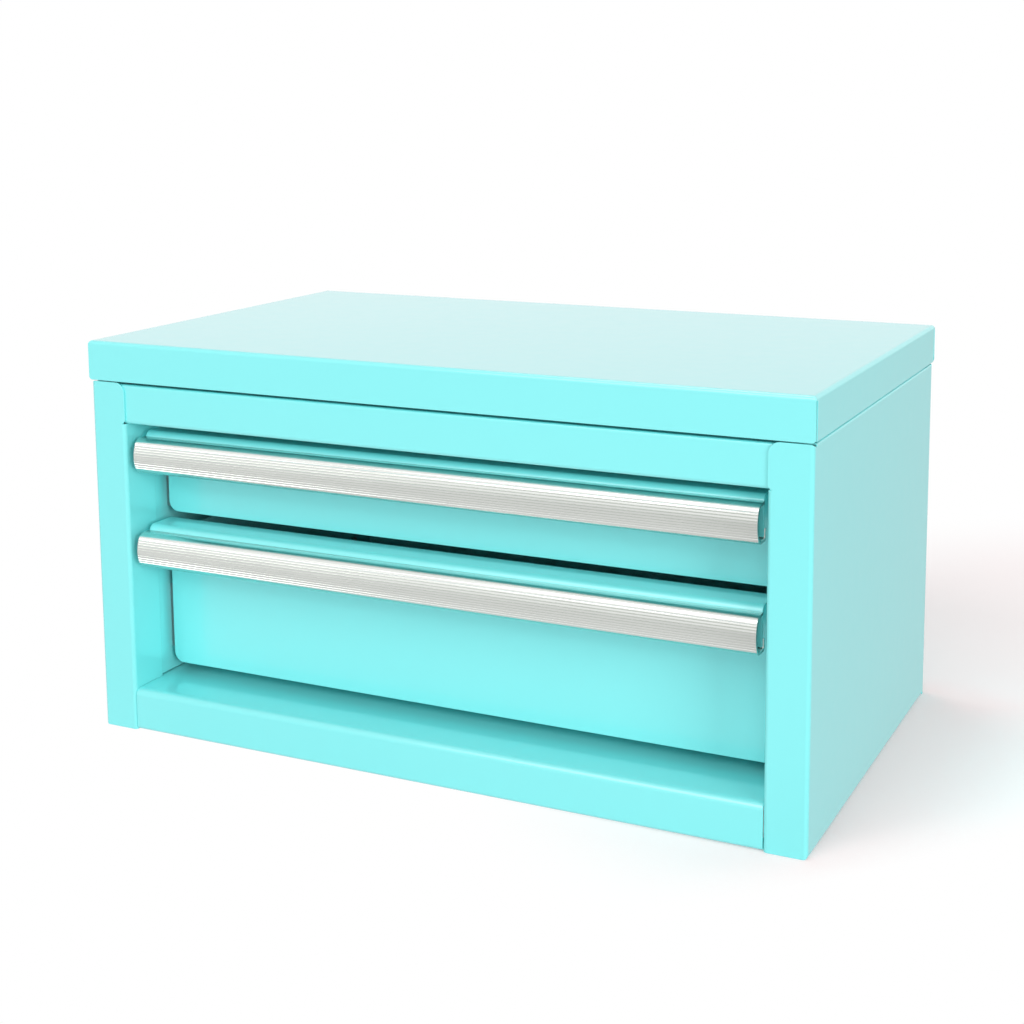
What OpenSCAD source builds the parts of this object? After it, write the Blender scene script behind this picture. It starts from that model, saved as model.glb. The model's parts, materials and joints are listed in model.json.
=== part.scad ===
// Two-drawer bench-top tool chest: a folded sheet-steel cabinet with a hinged lid over
// a shallow till, and two drawers on ball-bearing slides with full-width ribbed pulls.
// Millimetres. X runs to the right, Y from front to back, Z up from the table.

/* [Cabinet] */
// Width across the side panels
body_w = 300; // [240:1:420]
// Depth from the face of the posts to the outside of the back panel
body_d = 176; // [150:1:260]
// Thickness of the sheet steel
sheet_t = 0.8; // [0.6:0.05:1]
// Outside radius of the folds
fold_r = 1.6; // [1.3:0.1:2.2]
// Width of each front post
post_w = 16; // [14:0.5:24]
// Depth of the return folded back from each post
post_return = 17.7; // [10:0.1:20]
// Width of the flanges folded in at the rear, top and bottom of a side panel
flange_w = 10; // [7:0.5:12]
// Corner radius of the post tab that overlaps the header
tab_r = 4.3; // [2:0.1:6]
// Radius of the relief notch where the tab ends
relief_r = 0.6; // [0.4:0.1:1]

/* [Base and till] */
// Height of the base pan's floor above the table
base_h = 17.5; // [12:0.5:30]
// Lift of the front rail's lower edge off the table
rail_lift = 1; // [0.6:0.1:3]
// Step of the front rail behind the post faces
rail_step = 0.2; // [0:0.05:0.6]
// Outside radius of the fold along the top of the front rail
rail_r = 3; // [1.6:0.1:5]
// Height of the header band above the drawers
header_h = 16.3; // [11:0.1:40]
// Step of the header's upper edge below the side panels
header_drop = 0.4; // [0:0.1:1]
// Depth of the folded edge along the top of the header
header_lip = 7; // [4:0.5:12]
// Outer radius of the folds along the cabinet's upper rim
rim_r = 1; // [0.9:0.1:2.5]
// Height of the welding flanges on the pans
weld_flange = 9; // [5:0.5:10]

/* [Lid] */
// Height of the lid's sides
lid_h = 15.9; // [12:0.1:40]
// Gap between the closed lid and the side panels
lid_gap = 0.5; // [0.3:0.1:2]
// Overhang of the lid past the front and sides
lid_overhang = 0.6; // [0:0.1:3]
// Width of the edge folded in along the bottom of the lid
lid_lip = 6; // [4:0.5:9]
// Width of the open seam at each corner of the lid
lid_seam = 0.8; // [0.1:0.05:1]
// Radius of the lid's lower front corners
lid_corner_r = 1.5; // [0.5:0.1:3]
// Opening angle at which the hinge stops the lid
lid_open = 100; // [90:1:115]

/* [Drawers] */
// Distance of the drawer fronts behind the post faces
recess = 24; // [20:0.5:30]
// Height of the lower drawer's front
lower_front_h = 63.1; // [52:0.1:120]
// Height of the upper drawer's front
upper_front_h = 37; // [35:0.1:80]
// Gap between the base pan and the lower drawer's front
floor_gap = 4.4; // [2:0.1:8]
// Gap between the two drawers
drawer_gap = 2; // [1:0.1:5]
// Gap between the upper drawer and the header
header_gap = 3.9; // [2:0.1:8]
// Gap between a drawer front and the post return at each side
side_gap = 1.7; // [0.6:0.1:3]
// Radius of the drawer front's lower corners
front_corner_r = 4.5; // [2:0.1:8]
// Outside radius of the folds of the ledge
ledge_r = 3; // [2:0.1:4]
// Distance that the ledge reaches forward of the drawer front
ledge_reach = 15.8; // [12:0.1:20]
// Length of the flange that hangs from the ledge
flange_drop = 14.8; // [11:0.1:18]
// Inset of the ledge's ends from the drawer front's edges
ledge_inset = 1.9; // [0.7:0.1:4]
// Step of a pan's floor above the lower edge of its front
pan_lift = 1.2; // [0.5:0.1:2]
// Step of a pan's sides below the ledge
pan_drop = 4; // [2:0.1:6]
// Gap between a drawer pan and the rear end of its slides
pan_back_gap = 2; // [0:0.5:6]

/* [Pulls] */
// Distance of the pulls behind the post faces
pull_front = 0.4; // [0:0.1:2]
// Wall thickness of the pull extrusion
pull_wall = 1.2; // [0.8:0.1:1.4]
// Step of a pull's top below the ledge
pull_drop = 2.6; // [2:0.1:5]
// Radius of the pull's round face
face_r = 12; // [9:0.1:16]
// Corner radius above and below the face
pull_r = 4; // [1.6:0.1:5]
// Height of the pull's rear hook
hook_h = 4.6; // [3:0.1:6]
// Overhang of the pull's ends past the ledge's ends
pull_overhang = 0.3; // [0:0.1:1]
// Height of the smooth band above the grooves
smooth_h = 2.3; // [1.5:0.1:4]
// Spacing of the grooves along the pull's face
rib_pitch = 1.05; // [0.8:0.05:1.5]
// Width of a groove
groove_w = 0.4; // [0.2:0.05:0.6]

/* [Slides] */
// Height of a slide's section
slide_h = 27; // [24:0.5:30]
// Width of a slide's section, from carrier to drawer
slide_w = 10; // [9.5:0.1:13]
// Thickness of the slide members
slide_t = 1.2; // [1:0.1:1.3]
// Diameter of the balls
ball_d = 3; // [2.6:0.1:3.2]
// Balls in each row of a cage
ball_count = 5; // [3:1:6]
// Length of a ball cage
cage_l = 45; // [40:1:60]
// Thickness of a ball cage
cage_t = 0.6; // [0.4:0.1:0.8]
// Running clearance between a ball and its raceways
ball_clear = 0.1; // [0.05:0.05:0.2]
// Depth of the raceways
race_depth = 0.35; // [0.25:0.05:0.5]
// Gap between a drawer front and the front end of its slides
slide_front_gap = 1.2; // [0.5:0.1:4]
// Gap between the rear end of the slides and the outside of the back panel
slide_back_gap = 5; // [4:0.5:10]
// Height of the lower slides above the lower edge of their drawer front
lower_slide_rise = 5.9; // [2:0.1:20]
// Height of the upper slides above the lower edge of their drawer front
upper_slide_rise = 1.4; // [1:0.1:3]
// Distance of the slides' rivets from the ends of the slides
slide_rivet_inset = 18; // [12:1:40]

/* [Hinge and small parts] */
// Outside diameter of the hinge knuckles
knuckle_d = 3.2; // [2.8:0.1:4]
// Diameter of the hinge pin
pin_d = 1.6; // [1.2:0.1:1.8]
// Length of the hinge
hinge_l = 260; // [150:1:290]
// Number of knuckles, shared by the two leaves
knuckle_count = 13; // [5:2:21]
// Height of a hinge leaf past its knuckles
leaf_h = 11; // [9:0.5:11.5]
// Axial gap between knuckles
knuckle_gap = 0.3; // [0.2:0.05:0.6]
// Depth of the notches in the back panel and the lid beside the knuckles
knuckle_relief = 0.6; // [0.4:0.1:1]
// Reach of the stop tabs behind the hinge pin
stop_reach = 6; // [5:0.5:8]
// Width of a stop tab
stop_w = 24; // [12:1:40]
// Distance of the outer rivets from the ends of the hinge
hinge_rivet_inset = 10; // [5:1:20]
// Shank diameter of the rivets
rivet_d = 3; // [2:0.1:3.2]
// Diameter of the rivet heads
rivet_head_d = 5; // [4.5:0.1:6]
// Thickness of the rivet heads
rivet_head_t = 0.7; // [0.4:0.1:0.9]
// Diameter of the rubber lid bumpers
bumper_d = 5; // [3:0.5:6]
// Distance of the bumpers from the front and the rear
bumper_inset = 35; // [20:1:60]

/* [Hidden] */
$fn = 48;
// radial clearance of a rivet or a pin in its hole
fit_clear = 0.05;
// gap left between parts that pass or stand close to each other
part_gap = 0.4;
// extra length of a cutter past the surface it cuts
over = 1;

// widths, from the middle of the chest
post_x = body_w / 2 - post_w;
carrier_x = post_x + sheet_t;
pan_x = carrier_x - slide_w;
front_x = post_x - side_gap;
ledge_x = front_x - ledge_inset;
pull_x = ledge_x + pull_overhang;
wall_x = body_w / 2 - sheet_t;
base_x = post_x - fit_clear;

// heights, from the table up
lower_z = base_h + floor_gap;
lower_top = lower_z + lower_front_h;
upper_z = lower_top + drawer_gap;
upper_top = upper_z + upper_front_h;
till_z = upper_top + header_gap;
header_top = till_z + header_h;
body_h = header_top + header_drop;
lid_z = body_h + lid_gap;
pin_z = (header_top + lid_z) / 2;

// depths, from the post faces back
back_y = body_d - sheet_t;
rear_y = back_y - sheet_t;
flange_y = recess - ledge_reach;
pan_y = recess + sheet_t;
slide_y = pan_y + slide_front_gap;
slide_l = body_d - slide_back_gap - slide_y;
pan_back = slide_y + slide_l - pan_back_gap;
pin_y = body_d + knuckle_d / 2;
rivet_ys = [slide_y + slide_rivet_inset, slide_y + slide_l - slide_rivet_inset];

// section of a slide, measured from its middle height
outer_in = slide_h / 2 - slide_t;
ball_z = outer_in + race_depth - ball_clear - ball_d / 2;
inner_out = ball_z - ball_d / 2 - ball_clear + race_depth;
ball_u = slide_w / 2;
inner_u = slide_w - slide_t;
cage_u = slide_t + 2 * part_gap;
ball_step = (cage_l - 2 * ball_d) / (ball_count - 1);
cage_y = slide_y + (slide_l - cage_l) / 2;

// the whole chest stands centred over the origin
front_end = -lid_overhang;
rear_end = pin_y + stop_reach;
mid_y = (front_end + rear_end) / 2;

paint = [0.56, 0.94, 0.94];
silver = [0.86, 0.87, 0.86];
zinc = [0.72, 0.74, 0.75];
steel = [0.62, 0.63, 0.65];
black = [0.08, 0.08, 0.09];

// Drawing planes: (y, z) swept along x, (x, z) swept along y, (x, y) swept along z
module along_x(x0, x1) { translate([x0, 0, 0]) rotate([90, 0, 90]) linear_extrude(x1 - x0) children(); }
module along_y(y0, y1) { translate([0, y1, 0]) rotate([90, 0, 0]) linear_extrude(y1 - y0) children(); }
module along_z(z0, z1) { translate([0, 0, z0]) linear_extrude(z1 - z0) children(); }

// Stands the chest centred over the origin
module placed() { translate([0, -mid_y, 0]) children(); }

// Left and right versions of a piece that is drawn for the right-hand side
module on_side(side) { if (side > 0) children(); else mirror([1, 0, 0]) children(); }

function unit(v) = v / norm(v);

// Section of a folded sheet: a path of square corners along its middle, with round folds;
// r is the outside radius of every fold, or a list of radii, one for each fold
function radius_at(r, i) = is_list(r) ? r[i - 1] : r;
module folded(path, r) {
    mid = sheet_t / 2;
    last = len(path) - 1;
    for (i = [0 : last - 1]) {
        way = unit(path[i + 1] - path[i]);
        a = path[i] + (i > 0 ? radius_at(r, i) - mid : 0) * way;
        b = path[i + 1] - (i < last - 1 ? radius_at(r, i + 1) - mid : 0) * way;
        translate(a) rotate(atan2(way[1], way[0])) translate([0, -sheet_t / 2]) square([norm(b - a), sheet_t]);
    }
    for (i = [1 : 1 : last - 1]) {
        u = unit(path[i] - path[i - 1]);
        v = unit(path[i + 1] - path[i]);
        fold = radius_at(r, i);
        reach = 2 * fold;
        translate(path[i] + (fold - mid) * (v - u)) intersection() {
            difference() {
                circle(fold);
                circle(fold - sheet_t);
            }
            polygon([[0, 0], -reach * v, reach * (u - v), reach * u]);
        }
    }
}

// What a round corner takes off a square one at the origin, with the piece in +x +y
module corner_off(r) {
    difference() {
        translate([-over, -over]) square(r + over);
        translate([r, r]) circle(r);
    }
}

// Rectangle standing on the axis with its two upper corners rounded
module round_top(w, h, r) {
    difference() {
        translate([-w / 2, 0]) square([w, h]);
        translate([w / 2, h]) rotate(180) corner_off(r);
        translate([-w / 2, h]) rotate(-90) corner_off(r);
    }
}

// Cabinet

// Side panel: wall with top and bottom flanges, a front post with its return, a rear flange
module side_panel(side) {
    mid = sheet_t / 2;
    wall = body_w / 2 - mid;
    on_side(side) difference() {
        union() {
            along_z(0, body_h) folded([
                [post_x + mid, post_return], [post_x + mid, mid], [wall, mid], [wall, flange_w]
            ], fold_r);
            along_y(2 * fold_r, rear_y - fold_r) folded([
                [body_w / 2 - flange_w, body_h - mid], [wall, body_h - mid], [wall, mid], [body_w / 2 - flange_w, mid]
            ], [rim_r, fold_r]);
            along_z(0, body_h) folded([
                [wall, rear_y - flange_w], [wall, rear_y + mid], [body_w / 2 - flange_w, rear_y + mid]
            ], fold_r);
            translate([post_x, 0, till_z]) cube([post_w / 2, sheet_t, header_h + header_drop]);
        }
        translate([post_x - over, sheet_t, till_z]) cube([sheet_t + fold_r + over, post_return, header_h + over]);
        along_y(-over, sheet_t + over) translate([post_x, body_h]) rotate(-90) corner_off(tab_r);
        along_y(-over, fold_r) translate([post_x + relief_r / 2, till_z + relief_r]) circle(relief_r);
        along_y(-over, 2 * fold_r) {
            translate([body_w / 2, 0]) rotate(90) corner_off(fold_r);
            translate([body_w / 2, body_h]) rotate(180) corner_off(rim_r);
        }
    }
}
module left_side_panel() { color(paint) side_panel(-1); }
module right_side_panel() { color(paint) side_panel(1); }

// Back panel, laid over the rear flanges of the side panels
module back_panel() {
    color(paint) difference() {
        translate([-wall_x, back_y, rail_lift]) cube([2 * wall_x, sheet_t, header_top - rail_lift]);
        hinge_rivet_holes(-1);
        knuckle_notch();
    }
}

// Base pan: the floor under the drawers, folded down in front as the bottom rail
module base_pan() {
    mid = sheet_t / 2;
    floor_mid = base_h - mid;
    face_mid = rail_step + mid;
    side_y = post_return + part_gap;
    color(paint) {
        along_x(-base_x, base_x) folded([
            [weld_flange, rail_lift + mid], [face_mid, rail_lift + mid], [face_mid, floor_mid],
            [rear_y + mid, floor_mid], [rear_y + mid, base_h - weld_flange]
        ], [fold_r, rail_r, fold_r]);
        for (side = [-1, 1]) on_side(side) along_y(side_y, rear_y - fold_r) folded([
            [base_x - over, floor_mid], [wall_x - mid, floor_mid], [wall_x - mid, base_h - weld_flange]
        ], fold_r);
    }
}

// Till pan: the floor of the top compartment, folded up in front as the header
module till_pan() {
    mid = sheet_t / 2;
    floor_mid = till_z + mid;
    face_mid = sheet_t + mid;
    end_x = body_w / 2 - flange_w - part_gap;
    header_x = body_w / 2 - fold_r;
    color(paint) {
        along_x(-end_x, end_x) folded([
            [sheet_t + header_lip, header_top - mid], [face_mid, header_top - mid], [face_mid, floor_mid],
            [rear_y + mid, floor_mid], [rear_y + mid, till_z + weld_flange]
        ], [rim_r, fold_r, fold_r]);
        for (side = [-1, 1]) on_side(side) {
            translate([end_x - over, sheet_t, till_z + fold_r])
                cube([header_x - end_x + over, sheet_t, header_h - 2 * fold_r]);
            along_y(2 * fold_r, rear_y - fold_r) folded([
                [end_x - over, floor_mid], [wall_x - mid, floor_mid], [wall_x - mid, till_z + weld_flange]
            ], fold_r);
        }
    }
}

// Slide carrier: upright inner panel between the post return and the rear flange
module slide_carrier(side) {
    mid = sheet_t / 2;
    on_side(side) difference() {
        along_z(base_h + part_gap, till_z - part_gap) folded([
            [carrier_x + mid, fold_r + part_gap], [carrier_x + mid, rear_y - mid],
            [wall_x - fold_r, rear_y - mid]
        ], fold_r);
        slide_rivet_places(0) translate([0, 0, -2 * over]) cylinder(d = rivet_d + 2 * fit_clear, h = 4 * over);
    }
}
module left_slide_carrier() { color(paint) slide_carrier(-1); }
module right_slide_carrier() { color(paint) slide_carrier(1); }

// Rubber dots on the top flanges, under the folded edge of the lid
module lid_bumpers() {
    color(black) for (side = [-1, 1], y = [bumper_inset, body_d - bumper_inset])
        translate([side * (body_w / 2 - fold_r - bumper_d / 2), y, body_h]) cylinder(d = bumper_d, h = lid_gap - fit_clear);
}

// Slides

// Middle height of the slides of a drawer: level 0 is the lower drawer, 1 the upper
function slide_z(level) = (level == 0 ? lower_z + lower_slide_rise : upper_z + upper_slide_rise) + slide_h / 2;

// Axes of the rivets of the right-hand slides, pointing from the carrier to the drawer
module slide_rivet_places(u) {
    for (level = [0, 1]) level_rivet_places(level, u) children();
}
module level_rivet_places(level, u) {
    for (y = rivet_ys) translate([carrier_x - u, y, slide_z(level)]) rotate([0, -90, 0]) children();
}

// Stands a slide section (u from the carrier towards the drawer, height) in its place
module slide_swept(level, side, y0, y1) {
    on_side(side) translate([carrier_x, 0, slide_z(level)]) mirror([1, 0, 0]) along_y(y0, y1) children();
}

// The two halves of a section that is alike above and below the slide's middle
module both_halves() {
    children();
    mirror([0, 1]) children();
}

module slide_outer(level, side) {
    difference() {
        slide_swept(level, side, slide_y, slide_y + slide_l) both_halves() difference() {
            union() {
                square([slide_t, slide_h / 2]);
                translate([0, outer_in]) square([inner_u - part_gap, slide_t]);
            }
            translate([ball_u, ball_z]) circle(ball_d / 2 + ball_clear);
        }
        on_side(side) level_rivet_places(level, 0)
            translate([0, 0, -over]) cylinder(d = rivet_d + 2 * fit_clear, h = slide_t + 2 * over);
    }
}
module lower_left_slide_outer() { color(zinc) slide_outer(0, -1); }
module lower_right_slide_outer() { color(zinc) slide_outer(0, 1); }
module upper_left_slide_outer() { color(zinc) slide_outer(1, -1); }
module upper_right_slide_outer() { color(zinc) slide_outer(1, 1); }

module slide_inner(level, side) {
    difference() {
        slide_swept(level, side, slide_y, slide_y + slide_l) both_halves() difference() {
            union() {
                translate([inner_u, 0]) square([slide_t, inner_out]);
                translate([cage_u + cage_t + part_gap, inner_out - slide_t])
                    square([slide_w - cage_u - cage_t - part_gap, slide_t]);
            }
            translate([ball_u, ball_z]) circle(ball_d / 2 + ball_clear);
        }
        on_side(side) level_rivet_places(level, inner_u)
            translate([0, 0, -over]) cylinder(d = rivet_d + 2 * fit_clear, h = slide_t + 2 * over);
    }
}
module lower_left_slide_inner() { color(zinc) slide_inner(0, -1); }
module lower_right_slide_inner() { color(zinc) slide_inner(0, 1); }
module upper_left_slide_inner() { color(zinc) slide_inner(1, -1); }
module upper_right_slide_inner() { color(zinc) slide_inner(1, 1); }

// Centres of the balls of a slide
module ball_places(level, side) {
    on_side(side) for (row = [-1, 1], i = [0 : ball_count - 1])
        translate([carrier_x - ball_u, cage_y + ball_d + i * ball_step, slide_z(level) + row * ball_z]) children();
}

module ball_cage(level, side) {
    difference() {
        slide_swept(level, side, cage_y, cage_y + cage_l) both_halves() {
            translate([cage_u, 0]) square([cage_t, ball_z + cage_t / 2]);
            translate([cage_u, ball_z - cage_t / 2]) square([ball_u + ball_d - cage_u, cage_t]);
        }
        ball_places(level, side) cylinder(d = ball_d + 2 * fit_clear, h = ball_d, center = true);
    }
}
module lower_left_ball_cage() { color(black) ball_cage(0, -1); }
module lower_right_ball_cage() { color(black) ball_cage(0, 1); }
module upper_left_ball_cage() { color(black) ball_cage(1, -1); }
module upper_right_ball_cage() { color(black) ball_cage(1, 1); }

module slide_balls(level) {
    for (side = [-1, 1]) ball_places(level, side) sphere(d = ball_d);
}
module lower_slide_balls() { color(steel) slide_balls(0); }
module upper_slide_balls() { color(steel) slide_balls(1); }

// Rivet along +z: a flush or headed end at 0 and a head past the grip
module rivet(grip, head_start) {
    cylinder(d = rivet_d, h = grip + rivet_head_t / 2);
    translate([0, 0, grip]) cylinder(d = rivet_head_d, h = rivet_head_t);
    if (head_start) translate([0, 0, -rivet_head_t]) {
        cylinder(d = rivet_head_d, h = rivet_head_t);
        cylinder(d = rivet_d, h = 2 * rivet_head_t);
    }
}

// Rivets that hold the outer members, flush inside the slide
module carrier_rivets() {
    color(zinc) for (side = [-1, 1]) on_side(side)
        slide_rivet_places(slide_t) rotate([180, 0, 0]) rivet(slide_t + sheet_t, false);
}

// Rivets that hold the inner members to a drawer pan
module drawer_rivets(level) {
    for (side = [-1, 1]) on_side(side)
        level_rivet_places(level, inner_u) rivet(slide_t + sheet_t, true);
}
module lower_drawer_rivets() { color(zinc) drawer_rivets(0); }
module upper_drawer_rivets() { color(zinc) drawer_rivets(1); }

// Drawers

// Pan of a drawer whose front runs from z to top: a folded trough with a back plate
module drawer_pan(level, z, top) {
    mid = sheet_t / 2;
    floor_z = z + pan_lift;
    side_top = top - pan_drop;
    difference() {
        union() {
            along_y(pan_y, pan_back) folded([
                [-pan_x + mid, side_top], [-pan_x + mid, floor_z + mid], [pan_x - mid, floor_z + mid], [pan_x - mid, side_top]
            ], fold_r);
            along_y(pan_back - sheet_t, pan_back) rotate(180) translate([0, -side_top])
                round_top(2 * pan_x - sheet_t, side_top - floor_z - mid, fold_r - mid);
        }
        for (side = [-1, 1]) on_side(side) level_rivet_places(level, slide_w)
            translate([0, 0, -over]) cylinder(d = rivet_d + 2 * fit_clear, h = sheet_t + 2 * over);
    }
}
module lower_drawer_pan() { color(paint) drawer_pan(0, lower_z, lower_top); }
module upper_drawer_pan() { color(paint) drawer_pan(1, upper_z, upper_top); }

// Front of a drawer: a panel folded forward as a ledge and down as the flange for the pull
module drawer_front(z, top) {
    mid = sheet_t / 2;
    along_x(-ledge_x, ledge_x) folded([
        [recess + mid, top - ledge_r - over], [recess + mid, top - mid],
        [flange_y + mid, top - mid], [flange_y + mid, top - flange_drop]
    ], ledge_r);
    along_y(recess, recess + sheet_t) translate([0, top - ledge_r]) rotate(180)
        round_top(2 * front_x, top - ledge_r - z, front_corner_r);
}
module lower_drawer_front() { color(paint) drawer_front(lower_z, lower_top); }
module upper_drawer_front() { color(paint) drawer_front(upper_z, upper_top); }

// Section of a pull in (depth, height): a round ribbed face that turns back at the top to
// meet the flange, and at the bottom into a hook under and behind it
pull_h = flange_drop - pull_drop + pull_wall + part_gap;
pull_reach = flange_y - pull_front;
hook_y = pull_reach + sheet_t + pull_wall;
hook_r = pull_wall + part_gap;
corner_y = face_r - sqrt(pow(face_r - pull_r, 2) - pow(pull_h / 2 - pull_r, 2));

// Outline of the face with its round corners, moved in by a wall or by none
module face_outline(wall) {
    arm = [corner_y - face_r, pull_h / 2 - pull_r];
    down = [arm[0], -arm[1]];
    translate([face_r, pull_h / 2]) intersection() {
        circle(face_r - wall);
        polygon([arm, 2 * arm, 2 * (arm + down), 2 * down, down]);
    }
    for (z = [pull_r, pull_h - pull_r]) translate([corner_y, z]) circle(pull_r - wall);
    translate([corner_y, wall]) square([pull_reach - corner_y, pull_h - 2 * wall]);
}

// Grooves along the face, counted down from the smooth band
module grooves() {
    step = rib_pitch / face_r * 180 / PI;
    first = asin((pull_h / 2 - smooth_h) / face_r);
    last = asin((pull_h / 2 - pull_r) / (face_r - pull_r));
    for (a = [first : -step : -last]) translate([face_r, pull_h / 2])
        translate(face_r * [-cos(a), sin(a)]) circle(d = groove_w);
}

module pull_section() {
    difference() {
        union() {
            face_outline(0);
            translate([corner_y, 0]) square([hook_y - corner_y, hook_h]);
        }
        face_outline(pull_wall);
        translate([corner_y, pull_wall]) square([hook_y - pull_wall - corner_y, pull_h - 3 * pull_wall]);
        translate([pull_reach, hook_h]) square([hook_y, pull_h]);
        translate([hook_y, 0]) rotate(90) corner_off(hook_r);
        grooves();
    }
}
module pull(top) {
    along_x(-pull_x, pull_x) translate([pull_front, top - pull_drop - pull_h]) pull_section();
}
module lower_pull() { color(silver) pull(lower_top); }
module upper_pull() { color(silver) pull(upper_top); }

// Hinge and lid

knuckle_l = hinge_l / knuckle_count;
leaf_near = knuckle_d / 2 + part_gap;

// Knuckles of one leaf (first is 0 or 1) with the strip that joins them to it; way is up or down
module knuckles(first, way) {
    for (i = [first : 2 : knuckle_count - 1]) {
        x0 = -hinge_l / 2 + i * knuckle_l + knuckle_gap / 2;
        x1 = x0 + knuckle_l - knuckle_gap;
        translate([x0, pin_y, pin_z]) rotate([0, 90, 0]) cylinder(d = knuckle_d, h = x1 - x0);
        translate([x0, body_d, way > 0 ? pin_z : pin_z - leaf_near - over])
            cube([x1 - x0, sheet_t, leaf_near + over]);
    }
}

// A leaf on the rear face, above or below the pin, with its knuckles and rivet holes
module hinge_leaf(first, way) {
    difference() {
        union() {
            translate([-hinge_l / 2, body_d, way > 0 ? pin_z + leaf_near : pin_z - leaf_near - leaf_h])
                cube([hinge_l, sheet_t, leaf_h]);
            knuckles(first, way);
            if (way < 0) stop_tabs();
        }
        translate([-hinge_l, pin_y, pin_z]) rotate([0, 90, 0]) cylinder(d = pin_d + 2 * fit_clear, h = 2 * hinge_l);
        hinge_rivet_holes(way);
    }
}

// Tabs lanced from the body leaf between its outer rivets, on which the lid's leaf rests when it is open
leaf_face = sheet_t - knuckle_d / 2;
stop_edge = stop_reach - sheet_t;
stop_z = -leaf_face * sin(lid_open) + (stop_edge - leaf_face * cos(lid_open)) / tan(lid_open);
module stop_tabs() {
    tab_z = pin_z - leaf_near - sheet_t;
    for (side = [-1, 1]) translate([side * 1.5 * rivet_pitch - stop_w / 2, 0, 0]) {
        translate([0, body_d, tab_z]) cube([stop_w, knuckle_d / 2 + stop_reach, sheet_t]);
        translate([0, pin_y + stop_edge, tab_z])
            cube([stop_w, sheet_t, pin_z + stop_z - part_gap - tab_z]);
    }
}
module hinge_body_leaf() { color(zinc) hinge_leaf(0, -1); }
module hinge_lid_leaf() { color(zinc) hinge_leaf(1, 1); }

module hinge_pin() {
    end = hinge_l / 2 + knuckle_gap;
    color(steel) translate([-end, pin_y, pin_z]) rotate([0, 90, 0]) {
        cylinder(d = pin_d, h = 2 * end);
        for (x = [-sheet_t, 2 * end]) translate([0, 0, x]) cylinder(d = knuckle_d - part_gap, h = sheet_t);
    }
}

// Axes of the rivets of a leaf, from inside the sheet to the rear
rivet_pitch = (hinge_l / 2 - hinge_rivet_inset) / 2;
rivet_xs = [for (i = [-2 : 2]) i * rivet_pitch];
module hinge_rivet_places(way) {
    for (x = rivet_xs) translate([x, back_y, pin_z + way * (leaf_near + leaf_h / 2)]) rotate([-90, 0, 0]) children();
}
module hinge_rivet_holes(way) {
    hinge_rivet_places(way) translate([0, 0, -over]) cylinder(d = rivet_d + 2 * fit_clear, h = 2 * sheet_t + 2 * over);
}
// Room for the knuckles along the facing edges of the back panel and the lid
module knuckle_notch() {
    half = hinge_l / 2 + part_gap;
    bottom = header_top - knuckle_relief;
    translate([-half, back_y - lid_seam, bottom]) cube([2 * half, sheet_t + over, lid_z + knuckle_relief - bottom]);
}
module hinge_body_rivets() { color(zinc) hinge_rivet_places(-1) rivet(2 * sheet_t, false); }
module hinge_lid_rivets() { color(zinc) hinge_rivet_places(1) rivet(2 * sheet_t, true); }

// Lid: a shallow tray turned upside down, with open corner seams and folded lower edges
module lid_shell() {
    w = body_w + 2 * lid_overhang;
    front = -lid_overhang;
    d = body_d - front;
    in_x = w / 2 - sheet_t;
    lip_y = front + sheet_t + lid_lip;
    color(paint) {
        difference() {
            lid_block(w, front, body_d, lid_h, fold_r);
            translate([0, 0, -over]) lid_block(w - 2 * sheet_t, front + sheet_t, back_y, lid_h - sheet_t + over, fold_r - sheet_t);
            for (side = [-1, 1], y = [front + sheet_t, back_y - lid_seam])
                translate([side * in_x - (side > 0 ? 0 : sheet_t + over), y, lid_z - over])
                    cube([sheet_t + over, lid_seam, lid_h - fold_r + over]);
            along_y(front - over, front + sheet_t) {
                translate([-w / 2, lid_z]) corner_off(lid_corner_r);
                translate([w / 2, lid_z]) rotate(90) corner_off(lid_corner_r);
            }
            hinge_rivet_holes(1);
            knuckle_notch();
        }
        translate([-in_x + lid_lip, front + sheet_t / 2, lid_z])
            cube([2 * (in_x - lid_lip), lid_lip + sheet_t / 2, sheet_t]);
        for (side = [-1, 1]) on_side(side) translate([in_x - lid_lip, lip_y + part_gap, lid_z])
            cube([lid_lip + sheet_t / 2, d - 3 * lid_lip, sheet_t]);
    }
}

// Block with its top edges rounded all round, from the lid's lower edge up
module lid_block(w, y0, y1, h, r) {
    translate([0, 0, lid_z]) intersection() {
        along_y(y0, y1) round_top(w, h, r);
        along_x(-w / 2, w / 2) translate([(y0 + y1) / 2, 0]) round_top(y1 - y0, h, r);
    }
}

placed() left_side_panel();
placed() right_side_panel();
placed() back_panel();
placed() base_pan();
placed() till_pan();
placed() left_slide_carrier();
placed() right_slide_carrier();
placed() lid_bumpers();
placed() carrier_rivets();
placed() lower_left_slide_outer();
placed() lower_right_slide_outer();
placed() upper_left_slide_outer();
placed() upper_right_slide_outer();
placed() lower_left_ball_cage();
placed() lower_right_ball_cage();
placed() upper_left_ball_cage();
placed() upper_right_ball_cage();
placed() lower_slide_balls();
placed() upper_slide_balls();
placed() lower_left_slide_inner();
placed() lower_right_slide_inner();
placed() upper_left_slide_inner();
placed() upper_right_slide_inner();
placed() lower_drawer_pan();
placed() lower_drawer_front();
placed() lower_pull();
placed() lower_drawer_rivets();
placed() upper_drawer_pan();
placed() upper_drawer_front();
placed() upper_pull();
placed() upper_drawer_rivets();
placed() hinge_body_leaf();
placed() hinge_pin();
placed() hinge_body_rivets();
placed() hinge_lid_leaf();
placed() hinge_lid_rivets();
placed() lid_shell();
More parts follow.
